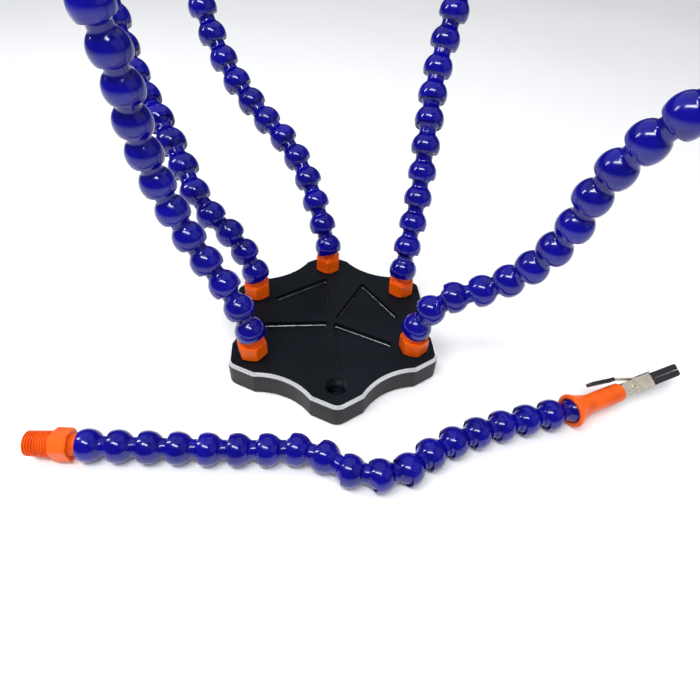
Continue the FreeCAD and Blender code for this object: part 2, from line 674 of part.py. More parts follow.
def standing_arm(name):
    """Everything that says where a standing arm is: its connector, stations and clip."""
    port, runs = STANDING_ARMS[name]
    heading = port_angle(port)
    foot = polar(PORT_CIRCLE_RADIUS, heading, PAD_PROUD + PLATE_THICKNESS + HEX_GAP)
    start = foot + UP * CONNECTOR_BALL_HEIGHT
    stations = arm_stations(start, heading, 0.0, 0.0, runs)
    end, way = stations[-1]
    return {
        "foot": foot,
        "foot_way": UP,
        "stations": stations,
        "clip": clip_frame(end, way, polar(1.0, heading)),
    }


def loose_arm():
    """The unscrewed arm, lying on the bench in front of the base."""
    start = FreeCAD.Vector(LOOSE_ARM_START[0], LOOSE_ARM_START[1], CUP_RADIUS)
    stations = arm_stations(start, 0.0, LYING_LEAN, LOOSE_ARM_SWEEP, LOOSE_ARM_RUNS)
    first_way = direction(0.0, LYING_LEAN, LOOSE_ARM_SWEEP)
    end = stations[-1][0]
    last_sweep = LOOSE_ARM_SWEEP + sum(run[0] * run[2] for run in LOOSE_ARM_RUNS)
    way = direction(0.0, LYING_LEAN, last_sweep + LOOSE_HOLDER_SWEEP_STEP)
    stations[-1] = (end, way)
    roll = math.radians(LOOSE_CLIP_ROLL)
    lever_side = FreeCAD.Vector(0, math.cos(roll), math.sin(roll))
    return {
        "foot": start - first_way * CONNECTOR_BALL_HEIGHT,
        "foot_way": first_way,
        "stations": stations,
        "clip": clip_frame(end, way, lever_side),
    }


# ---- the assembly -------------------------------------------------------------------------------
def build():
    """Every node of the object, as a name and its shape."""
    connector_shape = connector()
    link_shape = link()
    holder_shape = clip_holder()
    fixed_shape = fixed_jaw()
    moving_shape = moving_jaw()
    rivet_shape = rivet()
    spring_shape = spring()
    far_sleeve = jaw_sleeve(False).mirror(ORIGIN, FreeCAD.Vector(1, 0, 0))

    nodes = {"base_plate": base_plate(), "anti_slip_pad": anti_slip_pad()}
    for name in STANDING_ARMS:
        arm = standing_arm(name)
        links = [aim(link_shape, point, way) for point, way in arm["stations"][:-1]]
        clip = arm["clip"]
        steel = [placed(shape, clip) for shape in (fixed_shape, rivet_shape, spring_shape)]
        screwed_in = FreeCAD.Rotation(UP, CONNECTOR_TURNS[name])
        nodes[name + "_connector"] = placed(
            connector_shape, FreeCAD.Placement(arm["foot"], screwed_in)
        )
        nodes[name + "_links_lower"] = Part.makeCompound(links[:LOWER_LINKS])
        nodes[name + "_links_upper"] = Part.makeCompound(links[LOWER_LINKS:])
        nodes[name + "_clip_holder"] = placed(holder_shape, clip)
        nodes[name + "_clip_fixed_jaw"] = Part.makeCompound(steel)
        nodes[name + "_clip_moving_jaw"] = placed(moving_shape, clip)

    arm = loose_arm()
    clip = arm["clip"]
    nodes["loose_arm_connector"] = aim(connector_shape, arm["foot"], arm["foot_way"])
    for number, (point, way) in enumerate(arm["stations"][:-1], start=1):
        nodes[f"loose_arm_link_{number:02d}"] = aim(link_shape, point, way)
    nodes["loose_arm_clip_holder"] = placed(holder_shape, clip)
    nodes["loose_arm_clip_fixed_jaw"] = placed(fixed_shape, clip)
    nodes["loose_arm_clip_moving_jaw"] = placed(moving_shape, clip)
    nodes["loose_arm_clip_rivet"] = placed(rivet_shape, clip)
    nodes["loose_arm_clip_spring"] = placed(spring_shape, clip)
    nodes["loose_arm_fixed_jaw_sleeve"] = placed(far_sleeve, clip)
    nodes["loose_arm_moving_jaw_sleeve"] = placed(jaw_sleeve(True), clip)
    nodes["loose_arm_lever_sleeve"] = placed(lever_sleeve(), clip)
    return nodes


NODES = build()
os.makedirs("parts", exist_ok=True)
for node, shape in NODES.items():
    shape.exportStep(f"parts/{node}.step")
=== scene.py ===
"""Helping hands for an electronics bench.

Gives the clamp's frame its finishes, its rubber sleeves and a studio.
"""

import json
import math

import bmesh
import bpy
from mathutils import Matrix, Vector


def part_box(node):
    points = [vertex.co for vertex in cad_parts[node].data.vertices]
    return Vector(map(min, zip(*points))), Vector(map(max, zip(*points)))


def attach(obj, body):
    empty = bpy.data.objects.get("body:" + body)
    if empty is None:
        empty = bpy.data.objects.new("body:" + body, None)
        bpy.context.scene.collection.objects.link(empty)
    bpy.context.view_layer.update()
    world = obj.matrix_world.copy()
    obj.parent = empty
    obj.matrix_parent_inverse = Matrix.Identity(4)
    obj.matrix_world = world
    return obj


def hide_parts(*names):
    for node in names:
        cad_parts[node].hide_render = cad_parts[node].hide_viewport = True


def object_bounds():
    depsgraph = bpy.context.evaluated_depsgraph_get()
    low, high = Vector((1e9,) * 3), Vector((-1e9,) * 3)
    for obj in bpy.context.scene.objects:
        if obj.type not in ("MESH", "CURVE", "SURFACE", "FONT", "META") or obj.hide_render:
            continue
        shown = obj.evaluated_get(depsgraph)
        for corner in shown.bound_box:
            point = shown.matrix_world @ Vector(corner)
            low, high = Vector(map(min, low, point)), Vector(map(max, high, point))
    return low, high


bl_info = {
    "name": "Helping Hands Clamp",
    "version": (1, 0, 0),
    "blender": (4, 5, 0),
    "location": "View3D > Sidebar > Clamp",
    "description": "Gives the helping hands clamp its finishes, rubber sleeves and studio",
    "category": "Object",
}

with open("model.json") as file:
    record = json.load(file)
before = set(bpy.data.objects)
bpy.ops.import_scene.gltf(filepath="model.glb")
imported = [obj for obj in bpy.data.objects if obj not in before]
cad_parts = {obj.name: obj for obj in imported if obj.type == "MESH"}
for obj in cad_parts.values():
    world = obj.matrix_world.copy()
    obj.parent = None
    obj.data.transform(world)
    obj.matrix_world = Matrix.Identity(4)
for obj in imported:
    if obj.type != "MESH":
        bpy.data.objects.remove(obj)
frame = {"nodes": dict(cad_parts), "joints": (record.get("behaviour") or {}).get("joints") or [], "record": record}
CAD_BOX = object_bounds()

NODES = frame["nodes"]
JOINTS = {joint["name"]: joint for joint in frame["joints"]}
MOUNTS = {mount["name"]: mount for mount in frame["record"]["mounts"]}

BASE = "base_plate"
PAD = "anti_slip_pad"
LOOSE_ARM = "loose_arm"
STANDING_ARMS = sorted(name.removesuffix("_lean") for name in JOINTS if name.endswith("_lean"))
ARMS = [LOOSE_ARM] + STANDING_ARMS
PORT_COUNT = len(STANDING_ARMS) + 1

MM = 0.001                   # a millimetre in metres

DRILL_SPOT_SHARE = 0.38      # the port floor is bare metal over this share of its radius
SOFT_RIM = 0.08              # half the width of a spot's soft rim, as a share of its radius


# ---- node trees ---------------------------------------------------------------------------------
class Finish:
    """One procedural material. Each call adds a node, and the shader's constants sit on its sockets."""

    def __init__(self, name, colour, **constants):
        self.material = bpy.data.materials.new(name)
        self.material.use_nodes = True
        self.material.diffuse_color = colour
        self.tree = self.material.node_tree
        self.shader = self.tree.nodes["Principled BSDF"]
        self.shader.inputs["Base Color"].default_value = colour
        for label, value in constants.items():
            self.shader.inputs[label.replace("_", " ")].default_value = value
        self.place = self.tree.nodes.new("ShaderNodeTexCoord").outputs["Object"]

    def link(self, output, target):
        self.tree.links.new(output, target)

    def stretch(self, scale, shift=(0.0, 0.0, 0.0)):
        """The piece's own coordinates, shifted and then scaled."""
        moved = self.tree.nodes.new("ShaderNodeMapping")
        moved.vector_type = "POINT"
        moved.inputs["Location"].default_value = [-s * k for s, k in zip(shift, scale)]
        moved.inputs["Scale"].default_value = scale
        self.link(self.place, moved.inputs["Vector"])
        return moved.outputs["Vector"]

    def noise(self, scale, detail=4.0, roughness=0.55, place=None):
        texture = self.tree.nodes.new("ShaderNodeTexNoise")
        texture.inputs["Scale"].default_value = scale
        texture.inputs["Detail"].default_value = detail
        texture.inputs["Roughness"].default_value = roughness
        self.link(place or self.place, texture.inputs["Vector"])
        return texture.outputs["Fac"]

    def distance(self, place, radius):
        """0 inside a radius from the origin of the coordinates and 1 outside, with a soft rim."""
        length = self.tree.nodes.new("ShaderNodeVectorMath")
        length.operation = "LENGTH"
        self.link(place, length.inputs[0])
        inner = (1.0 - SOFT_RIM) * radius
        outer = (1.0 + SOFT_RIM) * radius
        return self.spread(length.outputs["Value"], 0.0, 1.0, inner, outer)

    def cells(self, scale):
        texture = self.tree.nodes.new("ShaderNodeTexVoronoi")
        texture.inputs["Scale"].default_value = scale
        self.link(self.place, texture.inputs["Vector"])
        return texture.outputs["Distance"]

    def rings(self, scale, place):
        texture = self.tree.nodes.new("ShaderNodeTexWave")
        texture.wave_type = "RINGS"
        texture.rings_direction = "Z"
        texture.inputs["Scale"].default_value = scale
        texture.inputs["Distortion"].default_value = 0.4
        self.link(place, texture.inputs["Vector"])
        return texture.outputs["Fac"]

    def ramp(self, factor, low, high, start, end):
        """Blends from the low colour to the high one as the factor goes from start to end."""
        ramp = self.tree.nodes.new("ShaderNodeValToRGB")
        ramp.color_ramp.interpolation = "EASE"
        ramp.color_ramp.elements[0].position = start
        ramp.color_ramp.elements[0].color = low
        ramp.color_ramp.elements[1].position = end
        ramp.color_ramp.elements[1].color = high
        self.link(factor, ramp.inputs["Fac"])
        return ramp.outputs["Color"]

    def spread(self, factor, low, high, start=0.3, end=0.7):
        """A number that goes from low to high as the factor goes from start to end."""
        scaled = self.tree.nodes.new("ShaderNodeMapRange")
        scaled.inputs["From Min"].default_value = start
        scaled.inputs["From Max"].default_value = end
        scaled.inputs["To Min"].default_value = low
        scaled.inputs["To Max"].default_value = high
        self.link(factor, scaled.inputs["Value"])
        return scaled.outputs["Result"]

    def mix(self, factor, first, second):
        blend = self.tree.nodes.new("ShaderNodeMix")
        blend.data_type = "RGBA"
        self.link(factor, blend.inputs["Factor"])
        self.link(first, blend.inputs["A"])
        self.link(second, blend.inputs["B"])
        return blend.outputs["Result"]

    def colour(self, output):
        self.link(output, self.shader.inputs["Base Color"])

    def bump(self, *layers):
        """Stacks bumps, each (height output, strength, depth in metres)."""
        normal = None
        for height, strength, depth in layers:
            bump = self.tree.nodes.new("ShaderNodeBump")
            bump.inputs["Strength"].default_value = strength
            bump.inputs["Distance"].default_value = depth
            self.link(height, bump.inputs["Height"])
            if normal:
                self.link(normal, bump.inputs["Normal"])
            normal = bump.outputs["Normal"]
        self.link(normal, self.shader.inputs["Normal"])

    def satin(self, factor, shiniest, extra, start=0.3, end=0.7):
        """Roughness that goes from its shiniest to that much more as the factor rises."""
        roughness = self.spread(factor, shiniest, shiniest + extra, start, end)
        self.link(roughness, self.shader.inputs["Roughness"])


def shade(colour, factor):
    """The colour with its red, green and blue multiplied."""
    return [min(1.0, channel * factor) for channel in colour[:3]] + [1.0]


def solid(colour):
    return [*colour[:3], 1.0]


def link_plastic(finishes):
    """Glossy moulded plastic of the links, with cloudy pigment and a faint mould texture."""
    blue = solid(finishes.link_blue)
    plastic = Finish(
        "glossy_blue_link_plastic", blue,
        IOR=1.5, Coat_Weight=0.1, Coat_Roughness=0.06, Coat_IOR=1.5,
    )
    cloud = plastic.noise(70.0, detail=3.0)
    plastic.colour(plastic.ramp(cloud, shade(blue, 0.78), shade(blue, 1.18), 0.32, 0.68))
    handling = plastic.noise(240.0, detail=6.0, roughness=0.7)
    plastic.satin(handling, finishes.link_gloss, 0.12, start=0.42)
    skin = plastic.noise(420.0, detail=2.0)
    grain = plastic.noise(3200.0, detail=1.0)
    plastic.bump((skin, 0.10, 0.00012), (grain, 0.05, 0.00003))
    return plastic.material


def connector_plastic(finishes):
    """Semi-gloss orange plastic of the connectors and clip holders, slightly see-through at its edges."""
    orange = solid(finishes.connector_orange)
    plastic = Finish(
        "satin_orange_connector_plastic", orange,
        IOR=1.47, Specular_IOR_Level=0.35, Subsurface_Weight=0.12, Subsurface_Scale=0.0012,
        Coat_Weight=0.05, Coat_Roughness=0.18,
    )
    plastic.shader.inputs["Subsurface Radius"].default_value = (1.0, 0.35, 0.08)
    cloud = plastic.noise(85.0, detail=3.0)
    deep = [orange[0] * 0.86, orange[1] * 0.72, orange[2], 1.0]
    plastic.colour(plastic.ramp(cloud, deep, shade(orange, 1.06), 0.3, 0.66))
    handling = plastic.noise(300.0, detail=5.0, roughness=0.65)
    plastic.satin(handling, finishes.connector_gloss, 0.14)
    skin = plastic.noise(650.0, detail=2.0)
    grain = plastic.noise(4200.0, detail=1.0)
    plastic.bump((skin, 0.14, 0.0001), (grain, 0.08, 0.00003))
    return plastic.material


def anodised_top(finishes):
    """Satin black anodising on the plate's top and in its pockets."""
    black = solid(finishes.plate_black)
    metal = Finish("satin_black_anodised_top", black, IOR=1.45, Specular_IOR_Level=0.14)
    cloud = metal.noise(28.0, detail=4.0)
    metal.colour(metal.ramp(cloud, shade(black, 0.75), shade(black, 1.3), 0.3, 0.7))
    wiped = metal.noise(9.0, detail=5.0, place=metal.stretch((1.0, 4.0, 1.0)))
    metal.satin(wiped, finishes.plate_gloss - 0.03, 0.1)
    blast = metal.noise(5200.0, detail=2.0)
    metal.bump((blast, 0.16, 0.00003))
    return metal.material


def blasted_side(finishes):
    """Bead-blasted and anodised edge of the plate, greyer and duller than its top."""
    grey = solid(finishes.side_grey)
    metal = Finish("bead_blasted_anodised_side", grey, IOR=1.45, Specular_IOR_Level=0.3)
    speckle = metal.noise(1500.0, detail=3.0)
    metal.colour(metal.ramp(speckle, shade(grey, 0.7), shade(grey, 1.35), 0.35, 0.65))
    cloud = metal.noise(45.0, detail=3.0)
    metal.satin(cloud, 0.46, 0.1)
    blast = metal.noise(3600.0, detail=2.0)
    metal.bump((blast, 0.3, 0.00005))
    return metal.material


def milled_edge(finishes):
    """The chamfer milled through the anodising, bright aluminium with fine cutter lines along it."""
    silver = solid(finishes.edge_silver)
    metal = Finish("bright_milled_chamfer", silver, Metallic=0.5, Anisotropic=0.35)
    lines = metal.noise(1.0, detail=3.0, place=metal.stretch((90.0, 90.0, 9000.0)))
    metal.colour(metal.ramp(lines, shade(silver, 0.82), shade(silver, 1.08), 0.3, 0.7))
    metal.satin(lines, 0.2, 0.14)
    metal.bump((lines, 0.12, 0.00003))
    return metal.material


def pocket_fillet(finishes):
    """Fillet round each pocket's floor, where the cutter's corner ran, in brighter grey metal than the black
    anodising: a painted highlight along the fillet.
    """
    silver = solid(finishes.edge_silver)
    # Grey metal in place of the black anodising, a painted highlight along each pocket's fillet.
    metal = Finish("burnished_pocket_fillet", shade(silver, 0.18), Metallic=1.0)
    highlight_mottle = metal.noise(300.0, detail=3.0)
    # Random mottle in the painted highlight's grey.
    metal.colour(metal.ramp(highlight_mottle, shade(silver, 0.13), shade(silver, 0.24), 0.35, 0.65))
    metal.satin(highlight_mottle, 0.24, 0.12)
    metal.bump((highlight_mottle, 0.05, 0.00002))
    return metal.material


def tapped_port(finishes):
    """Inside of a tapped port, dark anodising with swarf-bright flecks on the thread."""
    black = solid(finishes.plate_black)
    metal = Finish("tapped_port_thread", black, Metallic=0.6, Specular_IOR_Level=0.5)
    flecks = metal.noise(900.0, detail=5.0, roughness=0.7)
    bright = shade(finishes.edge_silver, 0.22)
    metal.colour(metal.ramp(flecks, shade(black, 1.5), bright, 0.5, 0.85))
    metal.satin(flecks, 0.26, 0.16)
    metal.bump((flecks, 0.2, 0.00004))
    return metal.material


def drilled_floor(finishes):
    """Floor of the ports, bare aluminium with the rings that the drill leaves."""
    silver = solid(finishes.edge_silver)
    black = solid(finishes.plate_black)
    metal = Finish("drilled_port_floor", shade(silver, 0.5), Metallic=1.0)
    port = MOUNTS["front_port"]["pos_m"]
    bare_radius = DRILL_SPOT_SHARE * MOUNTS["front_port"]["dims"]["r_mm"] * MM
    rings = metal.rings(1.0, metal.stretch((900.0, 900.0, 1.0), shift=port))
    bare = metal.ramp(rings, shade(silver, 0.4), shade(silver, 0.62), 0.2, 0.8)
    spot = metal.distance(metal.stretch((1.0, 1.0, 0.0), shift=port), bare_radius)
    stained = metal.ramp(rings, black, shade(black, 2.0), 0.2, 0.8)
    metal.colour(metal.mix(spot, bare, stained))
    metal.satin(rings, 0.3, 0.12)
    metal.bump((rings, 0.2, 0.00005))
    return metal.material


def pad_rubber(finishes):
    """Dull rubber of the anti-slip pad, with a pebbled skin."""
    black = shade(finishes.rubber_black, 1.2)
    rubber = Finish("pebbled_pad_rubber", black, IOR=1.5, Sheen_Weight=0.1, Sheen_Roughness=0.6)
    dust = rubber.noise(60.0, detail=5.0)
    rubber.colour(rubber.ramp(dust, black, shade(black, 2.0), 0.45, 0.8))
    rubber.satin(dust, 0.68, 0.14)
    rubber.bump((rubber.cells(900.0), 0.5, 0.0001), (rubber.noise(2600.0), 0.2, 0.00004))
    return rubber.material


def sleeve_rubber(finishes):
    """Smooth slate-black rubber of the sleeves, with a soft sheen and faint drag lines."""
    black = solid(finishes.rubber_black)
    rubber = Finish(
        "slate_sleeve_rubber", black,
        IOR=1.48, Sheen_Weight=0.12, Sheen_Roughness=0.45, Specular_IOR_Level=0.45,
    )
    cloud = rubber.noise(190.0, detail=4.0)
    rubber.colour(rubber.ramp(cloud, shade(black, 0.75), shade(black, 1.5), 0.35, 0.75))
    rubber.satin(cloud, finishes.rubber_gloss, 0.12)
    drag = rubber.noise(700.0, detail=3.0)
    grain = rubber.noise(4000.0)
    rubber.bump((drag, 0.18, 0.00008), (grain, 0.12, 0.00003))
    return rubber.material


def nickel_plate(finishes):
    """Nickel plating of the clips, warm, with cloudy polish and hairline scratches."""
    nickel = solid(finishes.clip_nickel)
    metal = Finish("warm_nickel_plate", nickel, Metallic=0.62)
    cloud = metal.noise(260.0, detail=4.0)
    scratches = metal.noise(1.0, detail=4.0, place=metal.stretch((400.0, 2600.0, 400.0)))
    metal.colour(metal.ramp(cloud, shade(nickel, 0.84), shade(nickel, 1.05), 0.3, 0.7))
    metal.satin(scratches, finishes.clip_gloss + 0.04, 0.1)
    metal.bump((scratches, 0.03, 0.000004), (metal.noise(1800.0), 0.02, 0.000002))
    return metal.material


def spring_steel(finishes):
    """Drawn wire of the springs, darker than the plating, with lines from the die."""
    steel = shade(finishes.clip_nickel, 0.62)
    metal = Finish("drawn_spring_steel", steel, Metallic=1.0)
    drawn = metal.noise(1400.0, detail=4.0)
    metal.colour(metal.ramp(drawn, shade(steel, 0.7), shade(steel, 1.1), 0.3, 0.7))
    metal.satin(drawn, 0.24, 0.16)
    metal.bump((drawn, 0.15, 0.00003))
    return metal.material


def bench_paper(studio):
    """Seamless pale sweep under the clamp, with hardly any gloss."""
    pale = solid(studio.floor_colour)
    paper = Finish("pale_studio_floor", pale, IOR=1.4, Specular_IOR_Level=studio.floor_gloss)
    fibre = paper.noise(6.0, detail=3.0)
    paper.colour(paper.ramp(fibre, shade(pale, 0.995), pale, 0.3, 0.7))
    paper.satin(fibre, 0.3, 0.06)
    return paper.material


MAKERS = {
    "link": link_plastic,
    "connector": connector_plastic,
    "top": anodised_top,
    "side": blasted_side,
    "edge": milled_edge,
    "fillet": pocket_fillet,
    "thread": tapped_port,
    "floor": drilled_floor,
    "pad": pad_rubber,
    "sleeve": sleeve_rubber,
    "nickel": nickel_plate,
    "spring": spring_steel,
}
made = {}


def finish(key):
    """The named finish, made the first time that it is asked for."""
    if key not in made:
        made[key] = MAKERS[key](bpy.context.scene.clamp_finishes)
    return made[key]


def coat(piece, *keys):
    """Gives a piece these finishes as its material slots."""
    piece.data.materials.clear()
    for key in keys:
        piece.data.materials.append(finish(key))


def smooth(piece, angle):
    """Rounds the shading of a built piece except over edges sharper than the angle."""
    piece.data.shade_smooth()
    piece.data.set_sharp_from_angle(angle=angle)


# ---- places taken from the frame ----------------------------------------------------------------
def clip_frame(arm):
    """The clip's own frame: origin in the last ball, z along the arm, y along the rivet."""
    ball = Vector(JOINTS[arm + "_clip_tilt"]["pos_m"])
    rivet = JOINTS[arm + "_jaw_open"]
    along = (Vector(rivet["pos_m"]) - ball).normalized()
    across = Vector(rivet["axis"]).normalized()
    towards_lever = across.cross(along).normalized()
    axes = Matrix((towards_lever, across, along)).transposed().to_4x4()
    return Matrix.Translation(ball) @ axes


def extents(node, to_local):
    """Lowest and highest corner of a node, and its vertices, in a frame of the piece's own."""
    points = [to_local @ vertex.co for vertex in NODES[node].data.vertices]
    low = Vector([min(p[i] for p in points) for i in range(3)])
    high = Vector([max(p[i] for p in points) for i in range(3)])
    return low, high, points


# ---- rubber sleeves -----------------------------------------------------------------------------
CORNER_POINTS = 8
TIP_STEPS = 7
LIP_STEPS = 6
LARGEST_CORNER = 0.499       # a ring's corners take up less than half of its side
SMALLEST_CORNER = 0.25       # of a sleeve's pocket, as a share of the wall
TIP_LEAN = 0.4               # share of the taper that is reached before the tip
TONGUE_CORNER = 0.35         # rounding of the tongue, as a share of the wall
# Inset and height of each ring of a strip, as shares of its corner and of its length.
BAR_PROFILE = ((1.0, 0.0), (0.3, 0.02), (0.0, 0.05), (0.0, 1.0))
END_BAND = 0.1               # share of a strip's length that its end is measured over
WELD = 1e-7                  # points nearer than this become one
SHARP_ANGLE = math.radians(50.0)


def rounded_ring(low, high, corner, height):
    """A rounded rectangle at one height, as points round it."""
    corner = min(corner, *(LARGEST_CORNER * (high[i] - low[i]) for i in range(2)))
    ring = []
    for quarter in range(4):
        middle_x = high[0] - corner if quarter in (0, 3) else low[0] + corner
        middle_y = high[1] - corner if quarter in (0, 1) else low[1] + corner
        for step in range(CORNER_POINTS):
            angle = math.radians(90.0) * (quarter + step / (CORNER_POINTS - 1))
            x = middle_x + corner * math.cos(angle)
            y = middle_y + corner * math.sin(angle)
            ring.append(Vector((x, y, height)))
    return ring


def boot_rings(low, high, sizes, corner, taper, tip_radius):
    """Rings of a sleeve, from the bottom of its pocket, over the rolled lip, to the blunt tip."""
    wall = sizes.wall

    def ring(inset, height, lean=0.0):
        near = (low[0] + inset, low[1] + inset)
        far = (high[0] - inset - lean, high[1] - inset)
        return rounded_ring(near, far, max(corner - inset, wall * SMALLEST_CORNER), height)

    rings = [ring(wall, high[2] - wall - tip_radius, taper)]
    rings.append(ring(wall, low[2] + wall))
    for step in range(LIP_STEPS + 1):
        turn = math.pi * step / LIP_STEPS
        inset = wall * (0.5 + 0.5 * math.cos(turn))
        rings.append(ring(inset, low[2] + wall * 0.5 * (1.0 - math.sin(turn))))
    rings.append(ring(0.0, low[2] + sizes.lip_length))
    rings.append(ring(wall * sizes.lip_relief, low[2] + sizes.lip_length + wall * 0.5))
    rings.append(ring(wall * sizes.lip_relief, high[2] - tip_radius - taper))
    for step in range(TIP_STEPS + 1):
        turn = math.radians(90.0) * step / TIP_STEPS
        inset = wall * sizes.lip_relief + tip_radius * (1.0 - math.cos(turn))
        height = high[2] - tip_radius + tip_radius * math.sin(turn)
        lean = taper * (TIP_LEAN + (1.0 - TIP_LEAN) * step / TIP_STEPS)
        rings.append(ring(inset, height, lean))
    return rings


def bar_rings(low, high, corner):
    """Rings of a thin rounded strip."""
    rings = []
    for inset_share, share in BAR_PROFILE:
        inset = inset_share * corner
        near = (low[0] + inset, low[1] + inset)
        far = (high[0] - inset, high[1] - inset)
        rings.append(rounded_ring(near, far, corner, low[2] + share * (high[2] - low[2])))
    return rings


def skin(mesh_edit, rings, place):
    """Closes a loft over the rings, with a face at each end."""
    loops = [[mesh_edit.verts.new(place @ point) for point in ring] for ring in rings]
    for lower, upper in zip(loops, loops[1:]):
        for i in range(len(lower)):
            j = (i + 1) % len(lower)
            mesh_edit.faces.new((lower[i], lower[j], upper[j], upper[i]))
    mesh_edit.faces.new(list(reversed(loops[0])))
    mesh_edit.faces.new(loops[-1])


def sleeve_piece(name, lofts, body, stands_for):
    """One sleeve from its lofts, each (rings, place), riding on a body."""
    mesh_edit = bmesh.new()
    for rings, place in lofts:
        skin(mesh_edit, rings, place)
    bmesh.ops.remove_doubles(mesh_edit, verts=mesh_edit.verts, dist=WELD)
    bmesh.ops.recalc_face_normals(mesh_edit, faces=mesh_edit.faces)
    mesh = bpy.data.meshes.new(name)
    mesh_edit.to_mesh(mesh)
    mesh_edit.free()
    piece = bpy.data.objects.new(name, mesh)
    bpy.context.scene.collection.objects.link(piece)
    coat(piece, "sleeve")
    smooth(piece, SHARP_ANGLE)
    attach(piece, body)
    if stands_for:
        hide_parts(stands_for)


def strip_frame(node, to_clip):
    """A frame along the thumb lever's sleeve: x through its thickness, y across, z to its open end."""
    low, high, points = extents(node, to_clip)
    band = END_BAND * (high.z - low.z)
    top = [p.x for p in points if p.z > high.z - band]
    bottom = [p.x for p in points if p.z < low.z + band]
    open_end = Vector((sum(top) / len(top), 0.0, high.z))
    closed_end = Vector((sum(bottom) / len(bottom), 0.0, low.z))
    along = (closed_end - open_end).normalized()
    across = Vector((0.0, 1.0, 0.0))
    through = across.cross(along).normalized()
    axes = Matrix((through, across, along)).transposed().to_4x4()
    return Matrix.Translation(open_end) @ axes


def build_sleeves(sizes):
    """Jaw and lever sleeves on all six clips, from the extents of the loose arm's own sleeves."""
    to_clip = clip_frame(LOOSE_ARM).inverted()
    jaw_node = LOOSE_ARM + "_fixed_jaw_sleeve"
    moving_node = LOOSE_ARM + "_moving_jaw_sleeve"
    lever_node = LOOSE_ARM + "_lever_sleeve"
    fixed_low, fixed_high, _ = extents(jaw_node, to_clip)
    moving_low, moving_high, _ = extents(moving_node, to_clip)
    boot_low = Vector((sizes.bite_gap, fixed_low.y, fixed_low.z))
    boot_high = Vector((-fixed_low.x, fixed_high.y, fixed_high.z))
    mirror = Matrix.Scale(-1.0, 4, Vector((1.0, 0.0, 0.0)))
    tongue_low = Vector((moving_high.x - sizes.wall, boot_low.y + sizes.wall, moving_low.z))
    tongue_high = Vector((moving_high.x, boot_high.y - sizes.wall, boot_low.z + sizes.wall))
    lever_place = strip_frame(lever_node, to_clip)
    lever_low, lever_high, _ = extents(lever_node, lever_place.inverted() @ to_clip)

    boot = boot_rings(
        boot_low, boot_high, sizes, sizes.jaw_corner, sizes.jaw_taper, sizes.tip_radius
    )
    tongue = bar_rings(tongue_low, tongue_high, TONGUE_CORNER * sizes.wall)
    lever = boot_rings(
        lever_low, lever_high, sizes, sizes.lever_corner, 0.0, sizes.lever_tip_radius
    )
    for arm in ARMS:
        place = clip_frame(arm)
        pieces = (
            ("_fixed_sleeve", [(boot, place @ mirror)], "_clip", jaw_node),
            ("_moving_sleeve", [(boot, place), (tongue, place)], "_jaw", moving_node),
            ("_thumb_sleeve", [(lever, place @ lever_place)], "_jaw", lever_node),
        )
        for name, lofts, body, cad_sleeve in pieces:
            stands_for = cad_sleeve if arm == LOOSE_ARM else None
            sleeve_piece(arm + name, lofts, arm + body, stands_for)


# ---- base plate ---------------------------------------------------------------------------------
PLATE_FINISHES = ("top", "side", "edge", "fillet", "thread", "floor")
# Upward part of a face's normal: least for a port's floor and for the top, and the span for the
# bright chamfer and for a pocket's fillet.
FLOOR_TILT = 0.9
TOP_TILT = 0.5
EDGE_TILT = (0.4, 0.95)
FILLET_TILT = (0.15, 0.97)


def finish_plate(sizes):
    """Gives each face of the plate the finish of the cut that made it."""
    plate = NODES[BASE]
    coat(plate, *PLATE_FINISHES)
    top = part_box(BASE)[1].z
    port = Vector(MOUNTS["front_port"]["pos_m"])
    reach = MOUNTS["front_port"]["dims"]["r_mm"] * MM * sizes.port_reach
    ports = []
    for number in range(PORT_COUNT):
        spin = Matrix.Rotation(2.0 * math.pi * number / PORT_COUNT, 2)
        ports.append(spin @ port.to_2d())
    for face in plate.data.polygons:
        flat = face.center.to_2d()
        depth = top - face.center.z
        tilt = face.normal.z
        in_port = min((flat - middle).length for middle in ports) < reach
        inside = flat.length < sizes.edge_start
        if in_port and depth > sizes.port_chamfer:
            key = "floor" if tilt > FLOOR_TILT and face.center.z < port.z else "thread"
        elif in_port:
            key = "top"
        elif not inside and EDGE_TILT[0] < tilt < EDGE_TILT[1]:
            key = "edge"
        # A pocket's fillet takes the finish with the painted highlight.
        elif inside and depth > sizes.fillet_start and FILLET_TILT[0] < tilt < FILLET_TILT[1]:
            key = "fillet"
        elif inside or tilt > TOP_TILT:
            key = "top"
        else:
            key = "side"
        face.material_index = PLATE_FINISHES.index(key)


# ---- settings -----------------------------------------------------------------------------------
def colour_setting(name, description, default):
    return bpy.props.FloatVectorProperty(
        name=name, description=description, subtype="COLOR", size=3, min=0.0, max=1.0, default=default
    )


def share_setting(name, description, default):
    return bpy.props.FloatProperty(
        name=name, description=description, subtype="FACTOR", min=0.0, max=1.0, default=default
    )


def length_setting(name, description, default):
    return bpy.props.FloatProperty(
        name=name, description=description, unit="LENGTH", min=0.0, precision=5, default=default
    )


def angle_setting(name, description, degrees):
    return bpy.props.FloatProperty(
        name=name, description=description, unit="ROTATION", default=math.radians(degrees)
    )


def power_setting(name, description, default):
    return bpy.props.FloatProperty(
        name=name, description=description, unit="POWER", min=0.0, default=default
    )


